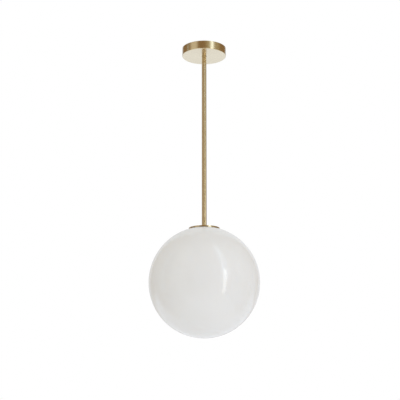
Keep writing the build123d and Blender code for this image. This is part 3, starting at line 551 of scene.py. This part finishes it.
def make_stem(materials):
    radius, bottom, top = round_size("stem_tube")
    outline = [
        (STEM_BORE_R, bottom, FINE_EDGE_R),
        (radius, bottom, FINE_EDGE_R),
        (radius, top, FINE_EDGE_R),
        (STEM_BORE_R, top, FINE_EDGE_R),
    ]
    tube = polar_solid("stem", rounded(outline), SIDES_SMALL)
    stand_for(tube, "stem_tube", materials)


def make_fitter(materials):
    radius, bottom, top = round_size("fitter_cap")
    inside_r = radius - FITTER_WALL
    outline = [
        (FITTER_HOLE_R, top, 0),
        (radius, top, FITTER_EDGE_R),
        (radius, bottom, FINE_EDGE_R),
        (inside_r, bottom, FINE_EDGE_R),
        (inside_r, top - FITTER_WALL, FINE_EDGE_R),
        (FITTER_HOLE_R, top - FITTER_WALL, 0),
    ]
    cap = polar_solid("fitter", rounded(outline), SIDES_LARGE)
    stand_for(cap, "fitter_cap", materials)

    radius, bottom, top = round_size("globe_gasket")
    outline = [
        (GASKET_BORE_R, bottom, GASKET_EDGE_R),
        (radius, bottom, GASKET_EDGE_R),
        (radius, top, FINE_EDGE_R),
        (GASKET_BORE_R, top, FINE_EDGE_R),
    ]
    gasket = polar_solid("gasket", rounded(outline), SIDES_LARGE)
    stand_for(gasket, "globe_gasket", materials)


# ------------------------------------------------------------------ globe


def make_globe(materials):
    """The glass globe: two spheres of glass surface joined by a fire-polished round mouth."""
    radius, bottom, top = round_size("glass_globe")
    centre_z = bottom + radius
    rim_r = GLOBE_WALL / 2
    rim_z = top - rim_r
    middle_r = radius - rim_r
    mouth_angle = math.degrees(math.asin((rim_z - centre_z) / middle_r))
    mouth_r = middle_r * math.cos(math.radians(mouth_angle))
    centre = (0, centre_z)
    outside = arc(centre, radius, -90, mouth_angle, GLOBE_STEPS)
    rim = arc((mouth_r, rim_z), rim_r, mouth_angle, mouth_angle + 180, GLOBE_RIM_STEPS)
    inside = arc(centre, radius - GLOBE_WALL, mouth_angle, -90, GLOBE_INSIDE_STEPS)
    globe = polar_solid("globe", outside + rim[1:-1] + inside, SIDES_LARGE)
    stand_for(globe, "glass_globe", materials)


# ------------------------------------------------------------------ threads and nuts


def ladder(radius, start, end, step):
    """Points up or down a straight wall, close enough together to carry a thread."""
    count = max(2, round(abs(end - start) / step))
    return [(radius, start + (end - start) * i / count) for i in range(count + 1)]


def threaded(least_r, depth, pitch, low, high, female=False):
    """A shape function that rolls a right-hand thread into the walls outside a radius.

    A male thread fades into its root at both ends and a female one into its crest, so that a
    screw turns out of its nut with the same gap all the way.
    """

    def shape(x, z, turn):
        if x < least_r or not low <= z <= high:
            return x, z
        wave = 0.5 + 0.5 * math.cos(FULL_TURN * z / pitch - turn)
        ends = min(1.0, (z - low) / pitch, (high - z) / pitch)
        cut = (1 - wave) * ends if female else 1 - wave * ends
        return x - depth * cut, z

    return shape


def make_nipple(node, name, materials):
    radius, bottom, top = round_size(node)
    wall = ladder(radius, bottom, top, M10_PITCH / STEPS_PER_M10_TURN)
    bore = [(NIPPLE_BORE_R, top), (NIPPLE_BORE_R, bottom)]
    shape = threaded(radius - M10_DEPTH / 2, M10_DEPTH, M10_PITCH, bottom, top)
    nipple = polar_solid(name, wall + bore, SIDES_SMALL // 2, shape)
    stand_for(nipple, node, materials)


def make_nut(node, name, materials):
    """A hexagon nut with its corners turned down on both faces."""
    low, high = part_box(node)
    flat_r = (high[1] - low[1]) / 2
    corner_r = flat_r / math.cos(math.pi / 6)
    middle_z = (low[2] + high[2]) / 2

    def hexagon(x, z, turn):
        if x <= flat_r:
            return x, z
        radius = flat_r / math.cos(turn % (math.pi / 3) - math.pi / 6)
        turned_down = (radius - flat_r) * math.tan(math.pi / 6)
        return radius, z - math.copysign(turned_down, z - middle_z)

    outline = [
        (NUT_BORE_R, low[2] + NUT_LEAD),
        (NUT_BORE_R + NUT_LEAD, low[2]),
        (flat_r, low[2]),
        (corner_r, low[2]),
        (corner_r, high[2]),
        (flat_r, high[2]),
        (NUT_BORE_R + NUT_LEAD, high[2]),
        (NUT_BORE_R, high[2] - NUT_LEAD),
    ]
    nut = polar_solid(name, outline, SIDES_SMALL, hexagon)
    stand_for(nut, node, materials)


def make_fixings(materials):
    make_nipple("stem_top_nipple", "top_nipple", materials)
    make_nipple("stem_bottom_nipple", "bottom_nipple", materials)
    make_nut("top_hex_nut", "top_nut", materials)
    make_nut("lower_hex_nut", "lower_nut", materials)


# ------------------------------------------------------------------ lampholder


def make_holder_cap(materials):
    """The domed cap, drawn from its bore out, down its side and back up its inside."""
    radius, joint_z, top = round_size("lampholder_cap")
    boss_z = top - HOLDER_BOSS_DROP
    shoulder_z = top - HOLDER_SHOULDER_DROP
    inside_r = radius - HOLDER_WALL
    outline = [
        (HOLDER_BORE_R, top, FINE_EDGE_R),
        (HOLDER_BOSS_R, top, 0.8 * MM),
        (HOLDER_BOSS_R + 0.4 * MM, boss_z + 1.0 * MM, 4.0 * MM),
        (radius - 3.0 * MM, shoulder_z + 6.0 * MM, 5.0 * MM),
        (radius, shoulder_z, 4.0 * MM),
        (radius, joint_z, FINE_EDGE_R),
        (inside_r, joint_z, FINE_EDGE_R),
        (inside_r, shoulder_z, 3.0 * MM),
        (inside_r - 4.0 * MM, shoulder_z + 3.0 * MM, 2.0 * MM),
        (HOLDER_BORE_R + HOLDER_WALL, boss_z - 1.0 * MM, 1.0 * MM),
        (HOLDER_BORE_R, boss_z, FINE_EDGE_R),
    ]
    cap = polar_solid("holder_cap", rounded(outline), SIDES_SMALL)
    stand_for(cap, "lampholder_cap", materials)


def make_holder_skirt(materials):
    """The screwed-on skirt, with a fluted band to grip and a seat for the ceramic insert."""
    radius, mouth_z, joint_z = round_size("lampholder_skirt")
    band_low = joint_z - SKIRT_FLUTES_END
    band_high = joint_z - SKIRT_FLUTES_START
    seat_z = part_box("lampholder_insert")[0][2]

    def fluted(x, z, turn):
        if x < radius - SKIRT_FLUTE_DEPTH or not band_low < z < band_high:
            return x, z
        return x - SKIRT_FLUTE_DEPTH * (0.5 - 0.5 * math.cos(SKIRT_FLUTES * turn)), z

    outline = [
        (SKIRT_SEAT_R, joint_z, FINE_EDGE_R),
        (radius, joint_z, FINE_EDGE_R),
        (radius, band_high, 0),
        (radius, band_high - FINE_EDGE_R, 0),
        (radius, band_low + FINE_EDGE_R, 0),
        (radius, band_low, 0),
        (SKIRT_LIP_R, mouth_z, 1.2 * MM),
        (SKIRT_MOUTH_R, mouth_z, 0.6 * MM),
        (SKIRT_MOUTH_R, seat_z, 0),
        (SKIRT_SEAT_R, seat_z, 0),
    ]
    skirt = polar_solid("holder_skirt", rounded(outline), 2 * SIDES_SMALL, fluted)
    stand_for(skirt, "lampholder_skirt", materials)


def make_screw_shell(materials):
    """The thin metal shell that the lamp's cap screws into."""
    radius, bottom, top = round_size("lampholder_screw_shell")
    inside_r = radius - SHELL_SHEET
    thread_top = top - SHELL_TOP_PLAIN
    thread_bottom = bottom + SHELL_BOTTOM_PLAIN
    step = E27_PITCH / STEPS_PER_E27_TURN
    outline = (
        [(SHELL_FLANGE_R, top), (radius, top)]
        + ladder(radius, thread_top, thread_bottom, step)
        + [(radius, bottom), (inside_r, bottom)]
        + ladder(inside_r, thread_bottom, thread_top, step)
        + [(inside_r, top - SHELL_SHEET), (SHELL_FLANGE_R, top - SHELL_SHEET)]
    )
    least_r = radius - 2 * SHELL_SHEET
    shape = threaded(least_r, E27_DEPTH, E27_PITCH, thread_bottom, thread_top, female=True)
    shell = polar_solid("screw_shell", outline, SIDES_SMALL, shape)
    stand_for(shell, "lampholder_screw_shell", materials)


# ------------------------------------------------------------------ lamp


def make_lamp_cap(materials):
    """The rolled E27 cap, from its neck down the thread to its collar and back up inside."""
    radius, bottom, top = round_size("bulb_screw_cap")
    neck_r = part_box("bulb_cap_insulator")[1][0]
    root_r = radius - E27_DEPTH
    shoulder_z = top - (root_r - neck_r) - LAMP_SHEET
    collar_z = bottom + LAMP_COLLAR
    step = E27_PITCH / STEPS_PER_E27_TURN
    outline = (
        [(neck_r - LAMP_LAND, top), (neck_r, top), (root_r, shoulder_z + LAMP_SHEET)]
        + ladder(radius, shoulder_z, collar_z, step)
        + [(root_r, collar_z - LAMP_SHEET), (radius - LAMP_SHEET, collar_z - 4 * LAMP_SHEET)]
        + [(radius, bottom), (radius - LAMP_SHEET, bottom)]
        + [(root_r - LAMP_SHEET, collar_z - LAMP_SHEET)]
        + ladder(radius - LAMP_SHEET, collar_z, shoulder_z, step)
        + [(root_r - LAMP_SHEET, shoulder_z + LAMP_SHEET / 2)]
        + [(neck_r - LAMP_LAND, top - LAMP_SHEET)]
    )
    shape = threaded(root_r + E27_DEPTH / 2, E27_DEPTH, E27_PITCH, collar_z, shoulder_z)
    cap = polar_solid("lamp_cap", outline, SIDES_SMALL, shape)
    stand_for(cap, "bulb_screw_cap", materials)


def make_lamp_contact(materials):
    """The round solder contact, with a domed top."""
    radius, bottom, top = round_size("bulb_centre_contact")
    turns = [math.pi / 2 * i / LAMP_CONTACT_STEPS for i in range(LAMP_CONTACT_STEPS)]
    dome = [(radius * math.cos(t), bottom + (top - bottom) * math.sin(t)) for t in turns]
    contact = polar_solid("lamp_contact", [(0, bottom)] + dome + [(0, top)], SIDES_SMALL)
    stand_for(contact, "bulb_centre_contact", materials)


def make_lamp_housing(materials):
    """The white flared body between the screw cap and the opal dome."""
    cap_r, neck_z, _ = round_size("bulb_screw_cap")
    edge_r, edge_z, _ = round_size("bulb_housing")
    dome_r, dome_bottom, _ = round_size("bulb_envelope")
    dome_z = dome_bottom + dome_r
    throat_r = cap_r + LAMP_THROAT_GAP
    end_slope = (edge_z - dome_z) / edge_r * (neck_z - edge_z)

    def flare(t):
        """Radius from the neck, where the side is upright, to the rim, where it meets the dome."""
        rise = 3 * t**2 - 2 * t**3
        return throat_r + (edge_r - throat_r) * rise + end_slope * (t**3 - t**2)

    parts = [i / LAMP_SIDE_STEPS for i in range(LAMP_SIDE_STEPS + 1)]
    side = [(flare(t), neck_z + (edge_z - neck_z) * t) for t in parts]
    inner_side = [(x - LAMP_WALL, z) for x, z in reversed(side)]
    spigot_r = cap_r - E27_DEPTH - LAMP_SHEET
    spigot_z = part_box("bulb_housing")[1][2]
    outline = (
        [(spigot_r, spigot_z), (spigot_r, neck_z + 3 * LAMP_SHEET), (cap_r - LAMP_SHEET, neck_z)]
        + side
        + inner_side
        + [(spigot_r - LAMP_WALL, neck_z), (spigot_r - LAMP_WALL, spigot_z)]
    )
    housing = polar_solid("lamp_housing", outline, 2 * SIDES_SMALL)
    stand_for(housing, "bulb_housing", materials)


def make_lamp_envelope(materials):
    """The opal dome: part of a hollow sphere, open where the housing's rim begins."""
    radius, bottom, _ = round_size("bulb_envelope")
    centre_z = bottom + radius
    rim_rise = round_size("bulb_housing")[1] - centre_z
    inner_r = radius - LAMP_WALL
    outer_angle = math.degrees(math.asin(rim_rise / radius))
    inner_angle = math.degrees(math.asin(rim_rise / inner_r))
    outside = arc((0, centre_z), radius, outer_angle, -90, LAMP_DOME_STEPS)
    inside = arc((0, centre_z), inner_r, -90, inner_angle, LAMP_DOME_INSIDE_STEPS)
    envelope = polar_solid("lamp_envelope", outside + inside, 2 * SIDES_SMALL)
    stand_for(envelope, "bulb_envelope", materials)


# ------------------------------------------------------------------ CAD pieces kept as they are


def dress_cad_nodes(materials):
    """Gives every CAD piece that still shows the material of its own slot."""
    for node in SLOT:
        dress(frame["nodes"][node], node, materials)


# ------------------------------------------------------------------ floor, studio and camera


def make_floor():
    """A pale floor under the lamp that fades into the white backdrop with distance."""
    bm = bmesh.new()
    bmesh.ops.create_circle(bm, cap_ends=True, segments=SIDES_SMALL, radius=FLOOR_R)
    bmesh.ops.translate(bm, verts=bm.verts, vec=(0, 0, FLOOR_Z))
    floor = finished("floor", bm)
    finish = Finish("floor_paint")
    grain = finish.noise(finish.place(), 30.0, 3.0)
    finish.colour(finish.mix(grain, rgb(0.86, 0.855, 0.845), rgb(0.89, 0.885, 0.875)))
    finish.roughness(finish.ramp(grain, 0.3, 0.7, 0.55, 0.65))
    far = finish.ramp(finish.distance((0, 0, FLOOR_Z)), FLOOR_NEAR_R, FLOOR_FAR_R)
    seen = finish.math("MULTIPLY", far, finish.node("LightPath").outputs["Is Camera Ray"])
    white = finish.node("Emission", {"Color": rgb(*BACKDROP)})
    paint = finish.shader.outputs[0]
    blend = finish.node("MixShader", {0: seen, 1: paint, 2: white.outputs[0]})
    finish.feed(finish.tree.nodes["Material Output"], "Surface", blend.outputs[0])
    floor.data.materials.append(finish.material)
    floor.visible_glossy = False


# What shiny parts see round them. Azimuth is in degrees from the camera's side, positive to the
# right; elevation above the horizon. Each card has soft edges.
#   centre azimuth, half width, softness, low elevation, high elevation, softness, colour, strength
STUDIO_CARDS = [
    (50.0, 38.0, 12.0, -90.0, 70.0, 10.0, (1.0, 0.83, 0.51), 0.39),
    (-55.5, 20.0, 4.5, -60.0, 60.0, 10.0, (1.0, 0.90, 0.74), 0.63),
    (0.0, 180.0, 1.0, -90.0, -40.0, 20.0, (0.94, 0.97, 1.0), 0.95),
    (180.0, 33.0, 5.0, -5.0, 65.0, 8.0, (0.95, 0.97, 1.0), 0.65),
    (180.0, 60.0, 10.0, -90.0, -7.0, 5.0, (0.90, 0.955, 1.06), 1.0),
    (-95.0, 2.2, 1.6, -30.0, 50.0, 10.0, (0.8, 0.95, 1.0), 0.85),
    (-38.0, 5.0, 3.0, -50.0, -31.0, 6.0, (1.0, 0.97, 0.94), 1.7),
    (43.0, 8.0, 5.0, 0.0, 70.0, 6.0, (1.04, 1.18, 1.3), 1.4),
]
STUDIO_DARK = (0.25, 0.155, 0.072)
BACKDROP = (1.0, 1.0, 1.0)
FILL = (0.872, 0.862, 0.832)


def make_world():
    """White to the camera, an even white fill on matt surfaces, and a studio for reflections."""
    world = bpy.data.worlds.new("studio")
    world.use_nodes = True
    bpy.context.scene.world = world
    nodes = Nodes(world.node_tree)
    direction = nodes.node("TexCoord").outputs["Generated"]
    x, y, z = nodes.node("SeparateXYZ", {0: direction}).outputs
    degrees = math.degrees(1.0)
    toward_camera = nodes.math("MULTIPLY", y, -1.0)
    azimuth = nodes.math("MULTIPLY", nodes.math("ARCTAN2", x, toward_camera), degrees)
    elevation = nodes.math("MULTIPLY", nodes.math("ARCSINE", z), degrees)
    seen = rgb(*STUDIO_DARK)
    for centre, half, soft, low, high, edge, colour, strength in STUDIO_CARDS:
        away = nodes.math("ABSOLUTE", nodes.math("SUBTRACT", azimuth, centre))
        away = nodes.math("MINIMUM", away, nodes.math("SUBTRACT", 360.0, away))
        across = nodes.ramp(away, half - soft, half + soft, 1.0, 0.0)
        above = nodes.ramp(elevation, low - edge, low + edge)
        below = nodes.ramp(elevation, high - edge, high + edge, 1.0, 0.0)
        mask = nodes.math("MULTIPLY", across, nodes.math("MULTIPLY", above, below))
        lit = rgb(*[strength * channel for channel in colour])
        seen = nodes.mix(mask, seen, lit)
    path = nodes.node("LightPath")
    seen = nodes.mix(path.outputs["Is Glossy Ray"], rgb(*FILL), seen)
    seen = nodes.mix(path.outputs["Is Camera Ray"], seen, rgb(*BACKDROP))
    nodes.feed(nodes.tree.nodes["Background"], "Color", seen)


def make_light(name, place, aim, size, power, colour, reflected):
    """A soft rectangular lamp. It either lights matt surfaces or shows in shiny ones."""
    light = bpy.data.lights.new(name, "AREA")
    light.shape = "RECTANGLE"
    light.size, light.size_y = size
    light.energy = power
    light.color = colour
    lamp = bpy.data.objects.new(name, light)
    bpy.context.collection.objects.link(lamp)
    lamp.location = place
    lamp.rotation_euler = (Vector(aim) - Vector(place)).to_track_quat("-Z", "Y").to_euler()
    lamp.visible_diffuse = not reflected
    lamp.visible_glossy = reflected
    lamp.visible_camera = False


# A wide key lamp for the matt surfaces, and a tall strip that shows as the upright highlight on the
# globe: place, aim, width and height, power, colour, and whether it shows in shiny parts
LAMPS = {
    "key": ((1.55, -2.40, -1.62), (0, 0, -0.67), (1.5, 1.5), 17.8, (0.81, 0.86, 1.0), False),
    "strip": ((1.45, -1.67, -0.87), (0, 0, -0.87), (0.29, 1.85), 5.3, (1.0, 0.98, 0.95), True),
}


def make_camera():
    data = bpy.data.cameras.new("camera")
    data.lens = CAMERA_LENS
    camera = bpy.data.objects.new("camera", data)
    bpy.context.collection.objects.link(camera)
    camera.location = CAMERA_AT
    camera.rotation_euler = (math.radians(90 + CAMERA_PITCH), 0, 0)
    bpy.context.scene.camera = camera


# ------------------------------------------------------------------ the whole scene

make_camera()
materials = make_materials()
dress_cad_nodes(materials)
make_canopy(materials)
make_stem(materials)
make_fitter(materials)
make_globe(materials)
make_fixings(materials)
make_holder_cap(materials)
make_holder_skirt(materials)
make_screw_shell(materials)
make_lamp_cap(materials)
make_lamp_contact(materials)
make_lamp_housing(materials)
make_lamp_envelope(materials)
make_floor()
make_world()
for lamp_name, lamp in LAMPS.items():
    make_light(lamp_name, *lamp)
bpy.context.scene.view_settings.view_transform = "Standard"
